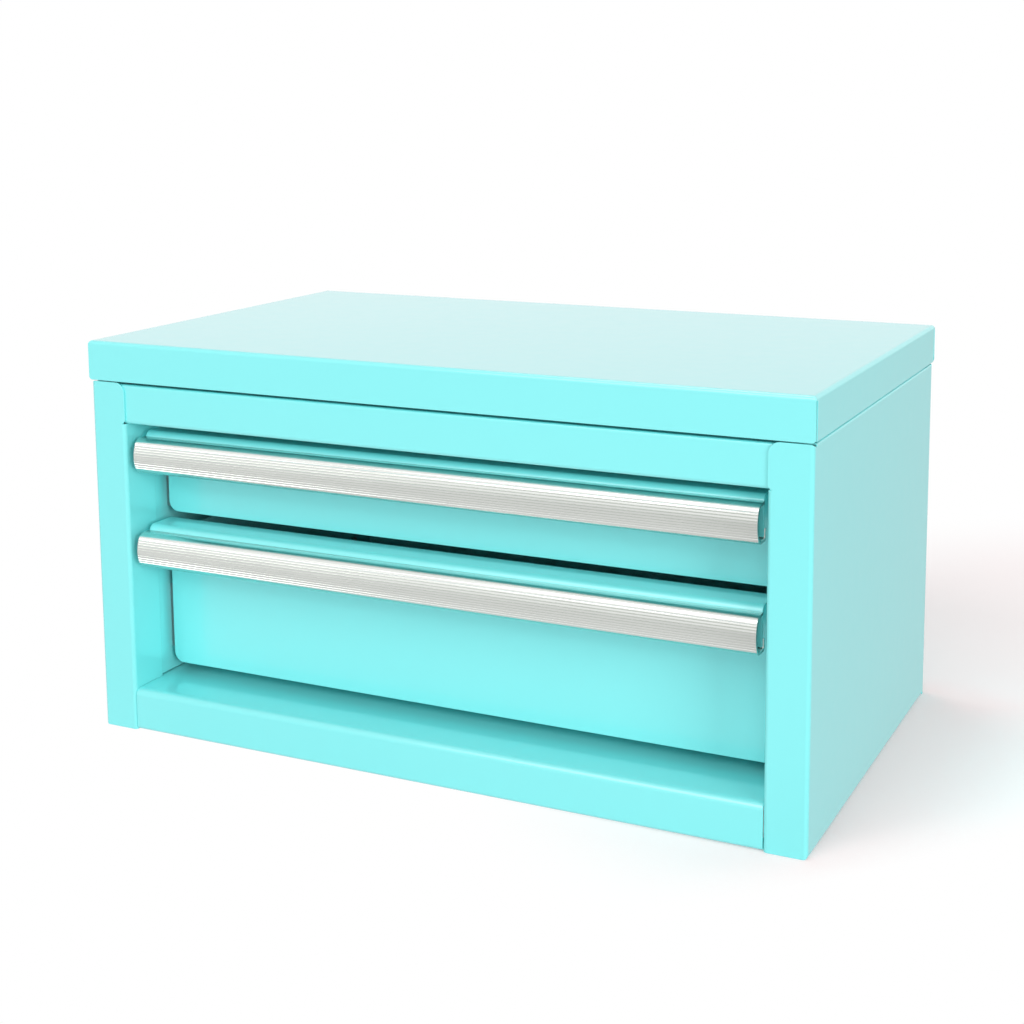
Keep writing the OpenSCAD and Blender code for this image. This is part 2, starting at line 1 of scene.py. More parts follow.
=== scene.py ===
# %% [markdown]
# # A two-drawer tool chest of folded sheet steel
# The real chest is a cabinet of thin painted sheet with a hinged lid, two drawers on ball slides
# and two ribbed aluminium pulls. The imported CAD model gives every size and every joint. Here the
# sheets that show are folded again from planes, as a sheet-metal worker folds them, because a bend
# that is modelled as a bend catches the light along its whole length.

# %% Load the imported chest
import json
import math

import bmesh
import bpy
from mathutils import Matrix, Vector


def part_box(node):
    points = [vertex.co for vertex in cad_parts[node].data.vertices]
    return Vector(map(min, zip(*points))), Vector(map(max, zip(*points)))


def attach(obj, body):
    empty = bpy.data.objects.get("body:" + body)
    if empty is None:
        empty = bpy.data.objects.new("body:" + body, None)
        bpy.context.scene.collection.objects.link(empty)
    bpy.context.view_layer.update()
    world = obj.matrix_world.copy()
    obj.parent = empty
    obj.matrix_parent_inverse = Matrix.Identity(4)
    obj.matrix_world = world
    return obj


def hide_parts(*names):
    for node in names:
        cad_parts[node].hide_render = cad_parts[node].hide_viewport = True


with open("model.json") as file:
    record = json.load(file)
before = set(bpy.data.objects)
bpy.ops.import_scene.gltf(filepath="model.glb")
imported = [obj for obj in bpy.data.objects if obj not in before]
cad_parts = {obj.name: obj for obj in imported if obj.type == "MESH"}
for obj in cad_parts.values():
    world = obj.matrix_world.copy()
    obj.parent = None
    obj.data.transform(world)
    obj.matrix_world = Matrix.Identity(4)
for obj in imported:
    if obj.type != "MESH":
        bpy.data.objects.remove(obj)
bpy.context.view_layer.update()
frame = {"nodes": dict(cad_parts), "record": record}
body_of = {node: body for body, nodes in frame["record"]["behaviour"]["bodies"].items() for node in nodes}
slot_of = {part["node"]: part["material_slot"] for part in frame["record"]["subparts"]}

# %% [markdown]
# ## Sizes
# Places come from the CAD nodes' own boxes, so the folded sheets land where the solids are. What a
# box can't tell, such as a fold's radius, is written once, in millimetres, in the cell that first
# needs it. Lengths without MM are metres, as Blender's are.

# %% Sizes of the sheets and the places where they meet
MM = 0.001
SHEET = 0.8 * MM
MID = SHEET / 2
FOLD = 1.6 * MM
RIM_FOLD = 1 * MM
FLANGE = 10 * MM

panel_low, panel_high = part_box("right_side_panel")
FRONT = panel_low.y
POST_X, HALF, BODY_H = panel_low.x, panel_high.x, panel_high.z
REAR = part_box("back_panel")[0].y - SHEET
WALL_X = HALF - SHEET
print("posts at", round(POST_X, 4), "sides at", round(HALF, 4), "rear flange at", round(REAR, 4))

# %% [markdown]
# ## Camera
# The chest is seen from its right, a little above the lid. The angle, the distance and the lens were
# fitted to the corners of the chest. The picture is framed low. Tilting the camera would do that too,
# but a lens shift does it without tilting the upright edges further.

# %% Place the camera
CAMERA_PLACE = (0.3013, -0.6170, 0.2637)
TURN_LEFT, LOOK_DOWN, ROLL = 25.005, 8.132, -0.247
SENSOR_MM, LENS_MM = 36, 59.096
LENS_SHIFT = (-0.0420, -0.1875)

camera_data = bpy.data.cameras.new("camera")
camera = bpy.data.objects.new("camera", camera_data)
bpy.context.scene.collection.objects.link(camera)
camera.location = CAMERA_PLACE
camera.rotation_euler = (
    Matrix.Rotation(math.radians(TURN_LEFT), 4, "Z")
    @ Matrix.Rotation(math.radians(90 - LOOK_DOWN), 4, "X")
    @ Matrix.Rotation(math.radians(ROLL), 4, "Z")
).to_euler()
camera_data.sensor_width, camera_data.lens = SENSOR_MM, LENS_MM
camera_data.shift_x, camera_data.shift_y = LENS_SHIFT
bpy.context.scene.camera = camera
print("camera at", CAMERA_PLACE, "with a lens of", LENS_MM)

# %% [markdown]
# ## World
# The chest stands in a white studio. A white room could be built round it, but the world gives the
# same at less cost. It answers camera and mirror rays with plain white, so the paint and the pulls
# reflect a white studio, while the light that falls on the chest stays at an even level.

# %% Shader helpers
def new_tree(owner):
    """Empties a material's or a world's node tree and returns it with an output node."""
    owner.use_nodes = True
    tree = owner.node_tree
    tree.nodes.clear()
    kind = "ShaderNodeOutputWorld" if isinstance(owner, bpy.types.World) else "ShaderNodeOutputMaterial"
    return tree, tree.nodes.new(kind)


def blend(tree, factor, first, second):
    """Mixes two shaders. A factor of 0 gives the first, and 1 the second."""
    node = tree.nodes.new("ShaderNodeMixShader")
    for socket, source in zip(node.inputs, (factor, first, second)):
        tree.links.new(source, socket)
    return node.outputs[0]


def seen_directly(tree):
    """A value that is 1 for camera, mirror and glass rays and 0 for the rays that only light things."""
    path = tree.nodes.new("ShaderNodeLightPath")
    total = path.outputs["Is Camera Ray"]
    for name in ("Is Glossy Ray", "Is Transmission Ray"):
        add = tree.nodes.new("ShaderNodeMath")
        add.operation, add.use_clamp = "ADD", True
        tree.links.new(total, add.inputs[0])
        tree.links.new(path.outputs[name], add.inputs[1])
        total = add.outputs[0]
    return total


# %% Light the world
BACKDROP, FILL_LIGHT = 1, 0.45


def white_light(tree, strength):
    """An even white background."""
    node = tree.nodes.new("ShaderNodeBackground")
    node.inputs["Color"].default_value = (1, 1, 1, 1)
    node.inputs["Strength"].default_value = strength
    return node.outputs[0]


world = bpy.data.worlds.new("studio")
bpy.context.scene.world = world
tree, out = new_tree(world)
studio = blend(tree, seen_directly(tree), white_light(tree, FILL_LIGHT), white_light(tree, BACKDROP))
tree.links.new(studio, out.inputs["Surface"])
print("world:", world.name, "with a fill light of", FILL_LIGHT)

# %% [markdown]
# ## Floor
# The chest stands on a white sheet that shows its shadow at the right side, from a line at the front
# corner backwards, and fades to white. A plain white floor would turn grey all over, so the sheet
# answers each kind of ray in its own way. The camera sees plain white or, where the shadow lies, a
# surface that takes light: the shade in it comes from the lamps, but its outline is painted by place.
# That surface's colour is set above white, which paints light into the shade, and close to the side
# it is painted with a red tone against the aqua light that the paint throws on it. Mirror rays see a
# glow with a painted reflection, pale in front as painted light and greyer at the right as painted
# shade, and the rays that only light things meet a plain pale surface.

# %% Places and tones of the floor
FLOOR_SIZE = 12
PLAIN_TONE = (0.8, 0.8, 0.8)
# The shadow's outline is painted by place, while the shade inside it comes from the lamps. It fades
# between two distances from its centre, and starts at a slanting line: the way across the line, and
# how far along that way it begins and is full.
SHADOW_CENTRE, SHADOW_REACH = (0.33, 0.1, 0), (0.24, 0.37)
SHADOW_WAY, SHADOW_EDGE = (-0.752, 0.659, 0), (-0.19, -0.158)
# The painted tone lies near the foot of the side, and no further right than a limit: there a red tone
# is painted against the aqua light that the paint throws on the sheet. Beyond it, a colour above white
# paints light into the shade.
SIDE_FOOT, BESIDE_REACH, BESIDE_X = (0.16, -0.01, 0), (0.07, 0.12), (0.15, 0.22)
BESIDE_PAINTED_TONE, BEYOND_PAINTED_LIGHT = (1.36, 1.0, 1.0), (1.26, 1.17, 1.17)
# The painted reflection in mirror rays: a glow, pale in front as painted light and greyer at the right
# as painted shade, and where it changes.
PAINTED_MIRROR_LEVELS, PAINTED_MIRROR_SPAN = (0.78, 0.62), (0.1, 0.15)
print("floor of", FLOOR_SIZE, "m, with a shadow centred at", SHADOW_CENTRE)


# %% Helpers for the floor
def diffuse(tree, colour):
    """A matt surface."""
    node = tree.nodes.new("ShaderNodeBsdfDiffuse")
    node.inputs["Color"].default_value = (*colour, 1)
    return node.outputs[0]


def spread(tree, value, low, high, first=0, last=1):
    """Maps a value from one range to another, softly."""
    node = tree.nodes.new("ShaderNodeMapRange")
    node.interpolation_type = "SMOOTHSTEP"
    for label, number in (("From Min", low), ("From Max", high), ("To Min", first), ("To Max", last)):
        node.inputs[label].default_value = number
    tree.links.new(value, node.inputs["Value"])
    return node.outputs["Result"]


def measure(tree, place, operation, vector):
    """A place's distance from a point, or its length along a direction."""
    node = tree.nodes.new("ShaderNodeVectorMath")
    node.operation = operation
    tree.links.new(place, node.inputs[0])
    node.inputs[1].default_value = vector
    return node.outputs["Value"]


# %% Look of the floor
floor_look = bpy.data.materials.new("white_sheet")
tree, out = new_tree(floor_look)
ray = tree.nodes.new("ShaderNodeLightPath")
place = tree.nodes.new("ShaderNodeTexCoord").outputs["Object"]
split = tree.nodes.new("ShaderNodeSeparateXYZ")
tree.links.new(place, split.inputs[0])
white = tree.nodes.new("ShaderNodeEmission").outputs[0]

away = tree.nodes.new("ShaderNodeMath")
away.operation = "MAXIMUM"
from_foot = measure(tree, place, "DISTANCE", SIDE_FOOT)
tree.links.new(spread(tree, from_foot, *BESIDE_REACH), away.inputs[0])
tree.links.new(spread(tree, split.outputs["X"], *BESIDE_X), away.inputs[1])
# The lit surface gets painted colours: a red tone against the aqua bounce light by the side, and a colour
# above white that paints light beyond it.
lit_with_painted_tone = blend(tree, away.outputs[0], diffuse(tree, BESIDE_PAINTED_TONE), diffuse(tree, BEYOND_PAINTED_LIGHT))

# Painted shadow outline: outside these two masks the camera sees plain white instead of the lit surface.
painted_outline_line = spread(tree, measure(tree, place, "DOT_PRODUCT", SHADOW_WAY), *SHADOW_EDGE)
painted_outline_reach = spread(tree, measure(tree, place, "DISTANCE", SHADOW_CENTRE), *SHADOW_REACH)
seen = blend(tree, painted_outline_reach, blend(tree, painted_outline_line, white, lit_with_painted_tone), white)

# Mirror rays meet a glow, not the lit floor. Its strength paints light in front and shade at the right.
mirrored = tree.nodes.new("ShaderNodeEmission")
painted_mirror_glow = spread(tree, split.outputs["X"], *PAINTED_MIRROR_SPAN, *PAINTED_MIRROR_LEVELS)
tree.links.new(painted_mirror_glow, mirrored.inputs["Strength"])
unseen = blend(tree, ray.outputs["Is Glossy Ray"], diffuse(tree, PLAIN_TONE), mirrored.outputs[0])
surface = blend(tree, ray.outputs["Is Camera Ray"], unseen, seen)
tree.links.new(surface, out.inputs["Surface"])
print("floor look:", len(tree.nodes), "nodes")

# %% Lay the floor
bpy.ops.object.select_all(action="DESELECT")
bpy.ops.mesh.primitive_plane_add(size=FLOOR_SIZE, location=(0, 0, 0))
floor = bpy.context.object
floor.name = "floor"
floor.data.materials.append(floor_look)
print("staged:", floor.name)

# %% [markdown]
# ## Lamps
# Four square softboxes light the chest: one for its right side, one for its front, and two from above
# for the lid. Small lamps would draw hard edges, while large ones keep the shadow soft. The two upper
# ones also show in mirror rays, where they put a sheen on the lid and a light line on the folds.

# %% Set up the lamps
LIT_POINT = Vector((0, 0, 0.08))


def softbox(name, place, size, watts, mirrored=False):
    """A square area lamp that faces the chest. Mirror rays pass it by unless it is mirrored."""
    data = bpy.data.lights.new(name, "AREA")
    data.shape, data.size, data.energy = "SQUARE", size, watts
    lamp = bpy.data.objects.new(name, data)
    bpy.context.scene.collection.objects.link(lamp)
    lamp.location, lamp.visible_glossy = place, mirrored
    lamp.rotation_euler = (LIT_POINT - Vector(place)).to_track_quat("-Z", "Y").to_euler()


softbox("right_softbox", place=(3.3, -2.0, 0.91), size=1.5, watts=57)
softbox("front_softbox", place=(1.2, -3.75, 1.3), size=2.2, watts=31)
softbox("upper_softbox", place=(-0.8, -2.9, 2.6), size=2, watts=33, mirrored=True)
softbox("top_softbox", place=(-0.7, 0.4, 2.8), size=0.9, watts=11, mirrored=True)
bpy.context.scene.view_settings.view_transform = "Standard"

# %% [markdown]
# ## Finishes
# The chest is powder-coated, its pulls are satin aluminium, and its small parts are zinc-plated,
# polished or moulded. Two effects come back in several of these finishes, so each is a node group
# instead of being drawn anew in every material. The first is the fine grain of a sprayed or moulded
# skin: powder coat flows out into a faint orange peel, plastic and rubber keep the grain of their
# mould. The second is the long streaks that rolling and extruding leave in metal.

# %% Node group helpers
COLOUR, VALUE, VECTOR = "NodeSocketColor", "NodeSocketFloat", "NodeSocketVector"
SETTINGS = [("Colour deep", COLOUR, (0.5, 0.5, 0.5, 1)), ("Colour light", COLOUR, (0.6, 0.6, 0.6, 1)),
            ("Roughness low", VALUE, 0.3), ("Roughness high", VALUE, 0.4)]
RESULTS = [("Colour", COLOUR), ("Roughness", VALUE), ("Height", VALUE)]
# The Mix node has sockets of its own for each kind of data: first, second and result.
MIX_SOCKETS = {"FLOAT": (2, 3, 0), "RGBA": (6, 7, 2)}


def new_group(name, own_setting):
    """A node group with the settings that both effects take and one of its own."""
    group = bpy.data.node_groups.new(name, "ShaderNodeTree")
    for label, kind, default in [*SETTINGS, own_setting]:
        group.interface.new_socket(label, in_out="INPUT", socket_type=kind).default_value = default
    for label, kind in RESULTS:
        group.interface.new_socket(label, in_out="OUTPUT", socket_type=kind)
    return group, group.nodes.new("NodeGroupInput"), group.nodes.new("NodeGroupOutput")


def noise(group, vector, scale, detail):
    """Noise over a surface. Its scale is a number or one of the group's settings."""
    node = group.nodes.new("ShaderNodeTexNoise")
    node.inputs["Detail"].default_value = detail
    group.links.new(vector, node.inputs["Vector"])
    if isinstance(scale, (int, float)):
        node.inputs["Scale"].default_value = scale
    else:
        group.links.new(scale, node.inputs["Scale"])
    return node.outputs["Fac"]


def between(group, factor, first, second, kind):
    """Mixes two settings by a factor."""
    node = group.nodes.new("ShaderNodeMix")
    node.data_type = kind
    first_socket, second_socket, result = MIX_SOCKETS[kind]
    group.links.new(factor, node.inputs[0])
    group.links.new(first, node.inputs[first_socket])
    group.links.new(second, node.inputs[second_socket])
    return node.outputs[result]


def join_up(group, start, end, tone, wear, height):
    """Feeds a group's outputs. Colour and roughness each lie between two settings."""
    colour = between(group, tone, start.outputs["Colour deep"], start.outputs["Colour light"], "RGBA")
    rough = between(group, wear, start.outputs["Roughness low"], start.outputs["Roughness high"], "FLOAT")
    for label, socket in (("Colour", colour), ("Roughness", rough), ("Height", height)):
        group.links.new(socket, end.inputs[label])
    print("node group:", group.name)


# %% Grain of a sprayed or moulded skin
grain, start, end = new_group("skin_grain", ("Grain scale", VALUE, 600))
where = grain.nodes.new("ShaderNodeTexCoord").outputs["Object"]
drift = noise(grain, where, scale=9, detail=2)
mottle = noise(grain, where, scale=160, detail=3)
peel = noise(grain, where, start.outputs["Grain scale"], detail=2)
join_up(grain, start, end, drift, mottle, peel)

# %% Streaks of rolled or extruded metal
streaks, start, end = new_group("drawn_streaks", ("Direction", VECTOR, (1, 60, 60)))
where = streaks.nodes.new("ShaderNodeTexCoord").outputs["Object"]
stretch = streaks.nodes.new("ShaderNodeVectorMath")
stretch.operation = "MULTIPLY"
streaks.links.new(where, stretch.inputs[0])
streaks.links.new(start.outputs["Direction"], stretch.inputs[1])
lines = noise(streaks, stretch.outputs[0], scale=60, detail=4)
clouds = noise(streaks, where, scale=70, detail=3)
join_up(streaks, start, end, lines, clouds, lines)


# %% Make a finish
def finish(name, group, settings, bump_mm, **sockets):
    """A material with one Principled shader that a group feeds. Plain values go on its own sockets."""
    look = bpy.data.materials.new(name)
    tree, out = new_tree(look)
    shader = tree.nodes.new("ShaderNodeBsdfPrincipled")
    for label, value in sockets.items():
        shader.inputs[label.replace("_", " ")].default_value = value
    texture = tree.nodes.new("ShaderNodeGroup")
    texture.node_tree = group
    for label, value in settings.items():
        texture.inputs[label].default_value = value
    bump = tree.nodes.new("ShaderNodeBump")
    bump.inputs["Distance"].default_value = bump_mm * MM
    tree.links.new(texture.outputs["Colour"], shader.inputs["Base Color"])
    tree.links.new(texture.outputs["Roughness"], shader.inputs["Roughness"])
    tree.links.new(texture.outputs["Height"], bump.inputs["Height"])
    tree.links.new(bump.outputs["Normal"], shader.inputs["Normal"])
    tree.links.new(shader.outputs[0], out.inputs["Surface"])
    return look


def shades(deep, light, roughness, **own_setting):
    """A group's settings: two colours, two roughnesses and the one that only this group has."""
    settings = {"Colour deep": (*deep, 1), "Colour light": (*light, 1)}
    settings["Roughness low"], settings["Roughness high"] = roughness
    for label, value in own_setting.items():
        settings[label.replace("_", " ")] = value
    return settings


# %% The finishes of the chest
finishes = {
    "cabinet_paint": finish(
        "aqua_powder_coat", grain,
        shades((0.23, 0.88, 0.89), (0.25, 0.9, 0.91), (0.26, 0.34), Grain_scale=650), bump_mm=0.012,
        Coat_Weight=0.9, Coat_Roughness=0.12, Coat_IOR=1.6, IOR=1.5),
    "pull_aluminium": finish(
        "satin_aluminium", streaks,
        shades((0.77, 0.79, 0.76), (0.8, 0.82, 0.79), (0.2, 0.26), Direction=(2, 150, 150)),
        bump_mm=0.0008, Metallic=1.0),
    # The slides' zinc is painted darker than plain zinc, as painted shade: only their ends show, deep in
    # the narrow gaps beside the drawer fronts.
    "slide_zinc": finish(
        "shade_darkened_zinc", streaks,
        shades((0.3, 0.31, 0.32), (0.42, 0.43, 0.44), (0.26, 0.42), Direction=(30, 1, 30)),
        bump_mm=0.01, Metallic=1.0),
    "hinge_zinc": finish(
        "rolled_zinc", streaks,
        shades((0.48, 0.5, 0.52), (0.66, 0.68, 0.7), (0.3, 0.46), Direction=(1, 30, 30)),
        bump_mm=0.01, Metallic=1.0),
    "rivet_zinc": finish(
        "tumbled_zinc", grain,
        shades((0.5, 0.52, 0.54), (0.62, 0.64, 0.66), (0.28, 0.48), Grain_scale=1500),
        bump_mm=0.01, Metallic=1.0),
    "ball_steel": finish(
        "polished_steel", grain,
        shades((0.6, 0.6, 0.61), (0.66, 0.66, 0.67), (0.06, 0.12), Grain_scale=2500),
        bump_mm=0.002, Metallic=1.0),
    "cage_plastic": finish(
        "black_moulding", grain,
        shades((0.012, 0.012, 0.013), (0.02, 0.02, 0.022), (0.42, 0.58), Grain_scale=1800),
        bump_mm=0.02),
    "bumper_rubber": finish(
        "black_rubber", grain,
        shades((0.008, 0.008, 0.008), (0.016, 0.016, 0.016), (0.7, 0.85), Grain_scale=2200),
        bump_mm=0.03),
}
print("finishes:", sorted(finishes))

# %% [markdown]
# ## Folding sheet
# A folded part starts as a plane. Its end edge is extruded along the section, one straight run after
# another, and the edges where the runs meet are then bevelled to the fold's radius. A Solidify
# modifier gives the sheet its thickness, and a last narrow bevel softens the cut edges, as powder
# coat does. Drawing a finished section would also work, but a bevel keeps each fold a true arc.

# %% Selecting by place
TINY = 0.01 * MM
STRAIGHT = 0.9


def take_hold(piece):
    """Makes a piece the only selected object and the active one."""
    bpy.ops.object.select_all(action="DESELECT")
    piece.select_set(True)
    bpy.context.view_layer.objects.active = piece


def near(a, b):
    """Whether two places are the same, but for rounding."""
    return abs(a - b) < TINY


def runs(way, axis):
    """Whether a direction lies along an axis, forwards or backwards."""
    return abs(way["XYZ".index(axis)]) > STRAIGHT


def middle_and_way(edge):
    """An edge's middle and its direction."""
    start, end = (vertex.co for vertex in edge.verts)
    return (start + end) / 2, (end - start).normalized()


def pick(kind, wanted):
    """In edit mode, selects the vertices, edges or faces that pass a test, and counts them.

    A vertex is tested by its place, an edge by its middle and direction, a face by its middle and normal.
    """
    bpy.ops.mesh.select_mode(type=kind)
    bpy.ops.mesh.select_all(action="DESELECT")
    mesh = bmesh.from_edit_mesh(bpy.context.object.data)
    if kind == "VERT":
        chosen = [vertex for vertex in mesh.verts if wanted(vertex.co)]
    elif kind == "EDGE":
        chosen = [edge for edge in mesh.edges if wanted(*middle_and_way(edge))]
    else:
        chosen = [face for face in mesh.faces if wanted(face.calc_center_median(), face.normal)]
    for part in chosen:
        part.select_set(True)
    mesh.select_flush_mode()
    bmesh.update_edit_mesh(bpy.context.object.data)
    return len(chosen)


# %% Extruding and slicing
def push_out(step):
    """Extrudes what is selected and moves it."""
    bpy.ops.mesh.extrude_region_move(TRANSFORM_OT_translate={"value": step})


def slice_at(axis, *places):
    """Cuts the whole mesh along planes square to an axis, with nothing removed."""
    normal = Vector([letter == axis for letter in "XYZ"])
    for place in places:
        bpy.ops.mesh.select_mode(type="VERT")
        bpy.ops.mesh.select_all(action="SELECT")
        bpy.ops.mesh.bisect(plane_co=normal * place, plane_no=normal, threshold=TINY / 10)


# %% Fold a strip of sheet
BEND_STEPS = 6


def spot(axis, along, point):
    """A point in space: a place along the folds and a point of the section square to them."""
    a, b = point
    return Vector({"X": (along, a, b), "Y": (a, along, b), "Z": (a, b, along)}[axis])


def fold_strip(name, axis, ends, section, radii=None):
    """A sheet of no thickness whose folds run along an axis between two ends.

    Each fold may have its own radius.
    """
    middle = sum(ends) / 2
    first, second = (spot(axis, middle, point) for point in section[:2])
    along, across = spot(axis, 1, (0, 0)), (second - first).normalized()
    bpy.ops.object.select_all(action="DESELECT")
    turn = Matrix((along, across, along.cross(across))).transposed().to_euler()
    bpy.ops.mesh.primitive_plane_add(size=1, location=(first + second) / 2, rotation=turn)
    strip = bpy.context.object
    strip.name = strip.data.name = name
    strip.scale = (ends[1] - ends[0], (second - first).length, 1)
    bpy.ops.object.transform_apply(location=True, rotation=True, scale=True)
    bpy.ops.object.mode_set(mode="EDIT")
    pick("EDGE", lambda mid, way: (mid - second).length < TINY)
    for here, there in zip(section[1:], section[2:]):
        push_out(spot(axis, 0, there) - spot(axis, 0, here))
    for point, radius in zip(section[1:-1], radii or [FOLD] * len(section)):
        fold = spot(axis, middle, point)
        pick("EDGE", lambda mid, way: (mid - fold).length < TINY)
        bpy.ops.mesh.bevel(offset=radius - MID, segments=BEND_STEPS, affect="EDGES")
    bpy.ops.object.mode_set(mode="OBJECT")
    return strip


# %% Thicken a sheet and hand it over
RIM = 0.22 * MM
RIM_STEPS = 2
RIM_ANGLE = math.radians(50)


def apply_last(piece):
    """Applies the modifier that was added last."""
    bpy.ops.object.modifier_apply(modifier=piece.modifiers[-1].name)


def thicken(piece, side=0, thick=SHEET):
    """Gives a sheet its thickness and softens its cut edges."""
    take_hold(piece)
    bpy.ops.object.modifier_add(type="SOLIDIFY")
    wall = piece.modifiers[-1]
    wall.thickness, wall.offset, wall.use_even_offset = thick, side, True
    apply_last(piece)
    bpy.ops.object.modifier_add(type="BEVEL")
    rim = piece.modifiers[-1]
    rim.width, rim.segments, rim.angle_limit = RIM, RIM_STEPS, RIM_ANGLE
    rim.use_clamp_overlap = False
    apply_last(piece)
    bpy.ops.object.shade_smooth()
    bpy.ops.object.modifier_add(type="WEIGHTED_NORMAL")
    apply_last(piece)
    return piece


def hand_over(piece, node):
    """Gives a finished piece its look and lets it stand for a CAD node."""
    piece.data.materials.clear()
    piece.data.materials.append(finishes[slot_of[node]])
    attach(piece, body_of[node])
    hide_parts(node)
    print(node, "->", piece.name, len(piece.data.polygons), "faces")


# %% [markdown]
# ## Side panels
# Each side panel is one blank: the wall, a front post with a return behind it, a rear flange, and
# flanges along the top and the bottom. One strip can't fold in two directions, so three strips make
# it, and they are merged along the lines that they share. They are sliced at the same heights first,
# because only lines with the same points merge without a gap. At the top of the post the return is
# cut away and the face runs on as a flat tab over the header, with a round corner above and a small
# hollow relief where the fold ends.

# %% Shape the posts
POST_RETURN = 17.7 * MM
TAB_CORNER = 4.3 * MM
RELIEF = 1 * MM
HOLLOW = 0.12
SLIT = 0.1 * MM
CORNER_STEPS = 10
END_ROUNDING = 0.85
TILL_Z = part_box("till_pan")[0].z
TAB_CUTS = (TILL_Z - SLIT / 2, TILL_Z + SLIT / 2)
END_CUTS = (FOLD, *TAB_CUTS, BODY_H - RIM_FOLD)
PANEL_START, PANEL_END = FRONT + 2 * FOLD, REAR - FOLD
print("tabs start at", round(TILL_Z, 4))


def cut_tab(side):
    """Cuts a front strip's return away above the slit and runs the post's face on as a tab."""
    inner, (slit_low, slit_high) = side * (POST_X + FOLD), TAB_CUTS
    slice_at("Z", *END_CUTS)
    pick("FACE", lambda mid, way: mid.z > slit_low and side * mid.x < POST_X + FOLD)
    bpy.ops.mesh.delete(type="FACE")
    pick("EDGE", lambda mid, way: mid.z > slit_high and near(mid.x, inner) and near(mid.y, FRONT + MID))
    push_out((-side * FOLD, 0, 0))
    pick("EDGE", lambda mid, way: mid.z > slit_high and near(mid.x, inner) and runs(way, "Z"))
    bpy.ops.mesh.dissolve_edges()
    pick("EDGE", lambda mid, way: near(mid.z, BODY_H - RIM_FOLD) and near(mid.y, FRONT + MID))
    bpy.ops.mesh.dissolve_edges()
    pick("VERT", lambda co: near(co.z, BODY_H) and near(co.x, side * POST_X))
    bpy.ops.mesh.bevel(offset=TAB_CORNER, segments=CORNER_STEPS, affect="VERTICES")
    pick("VERT", lambda co: near(co.z, slit_high) and near(co.x, side * POST_X))
    bpy.ops.mesh.bevel(offset=RELIEF, segments=BEND_STEPS, profile=HOLLOW, affect="VERTICES")


def round_post_ends(side):
    """Rounds a front strip's outer fold at its two ends, where it meets the flanges."""
    for end, lift in ((0, FOLD), (BODY_H, -RIM_FOLD)):
        for step in range(1, BEND_STEPS + 1):
            share = math.sin(math.pi / 2 * step / BEND_STEPS)
            place = side * (HALF - FOLD + (FOLD - MID) * share)
            rise = END_ROUNDING * lift * (1 - math.sqrt(max(0, 1 - share * share)))
            if pick("VERT", lambda co: near(co.z, end) and near(co.x, place) and co.y < PANEL_START + TINY):
                bpy.ops.transform.translate(value=(0, 0, rise))


# %% Fold the side panels
def front_strip(name, side):
    """The post with its return, the fold at the corner and the start of the wall."""
    back, wall = side * (POST_X + MID), side * (HALF - MID)
    strip = fold_strip(name, "Z", (0, BODY_H), [
        (back, FRONT + POST_RETURN), (back, FRONT + MID), (wall, FRONT + MID), (wall, PANEL_START)])
    bpy.ops.object.mode_set(mode="EDIT")
    cut_tab(side)
    round_post_ends(side)
    bpy.ops.object.mode_set(mode="OBJECT")
    return strip


def rear_strip(name, side):
    """The end of the wall and the rear flange."""
    wall, edge = side * (HALF - MID), side * (HALF - FLANGE)
    strip = fold_strip(name, "Z", (0, BODY_H), [
        (wall, PANEL_END), (wall, REAR + MID), (edge, REAR + MID)])
    bpy.ops.object.mode_set(mode="EDIT")
    slice_at("Z", *END_CUTS)
    bpy.ops.object.mode_set(mode="OBJECT")
    return strip


def wall_strip(name, side):
    """The wall between the other two strips, with a flange above and one below, set in at their ends."""
    wall, edge = side * (HALF - MID), side * (HALF - FLANGE)
    strip = fold_strip(name, "Y", (PANEL_START, PANEL_END), [
        (edge, BODY_H - MID), (wall, BODY_H - MID), (wall, MID), (edge, MID)], [RIM_FOLD, FOLD])
    start, end = PANEL_START + SLIT, PANEL_END - SLIT
    bpy.ops.object.mode_set(mode="EDIT")
    slice_at("Z", *TAB_CUTS)
    slice_at("Y", start, end)
    pick("FACE", lambda mid, way: not near(mid.x, wall) and not start < mid.y < end)
    bpy.ops.mesh.delete(type="FACE")
    bpy.ops.object.mode_set(mode="OBJECT")
    return strip


def side_panel(name, side):
    """A panel, merged from its three strips."""
    front = front_strip(name, side)
    others = (rear_strip(name + "_rear", side), wall_strip(name + "_wall", side))
    take_hold(front)
    for strip in others:
        strip.select_set(True)
    bpy.ops.object.join()
    bpy.ops.object.mode_set(mode="EDIT")
    bpy.ops.mesh.select_all(action="SELECT")
    bpy.ops.mesh.remove_doubles(threshold=TINY)
    bpy.ops.mesh.normals_make_consistent(inside=False)
    bpy.ops.object.mode_set(mode="OBJECT")
    return thicken(front)


for side_name, side in (("left", -1), ("right", 1)):
    hand_over(side_panel(f"{side_name}_side", side), f"{side_name}_side_panel")

# %% [markdown]
# ## Till and base
# The till is a tray whose front wall shows as the header between the posts, and the base is a tray
# turned over, whose front wall is the bottom rail. A box with bevelled edges would look alike from
# the front, but its folds would all be the same. So both are folded front to back in one strip, and
# then get wings at the sides that reach the walls. The header's top edge is set a few tenths of a
# millimetre down and the rail's lower edge a little down, which gives the dark line under the lid
# and the rail their real widths.

# %% Fold the till and the base
HEADER_LIP = 7 * MM
HEADER_STEP = 0.35 * MM
WELD_FLANGE = 9 * MM
RAIL_STEP = 0.2 * MM
RAIL_R = 3 * MM
RAIL_DROP = 0.7 * MM
RAIL_PLAY = 0.05 * MM
PART_GAP = 0.4 * MM


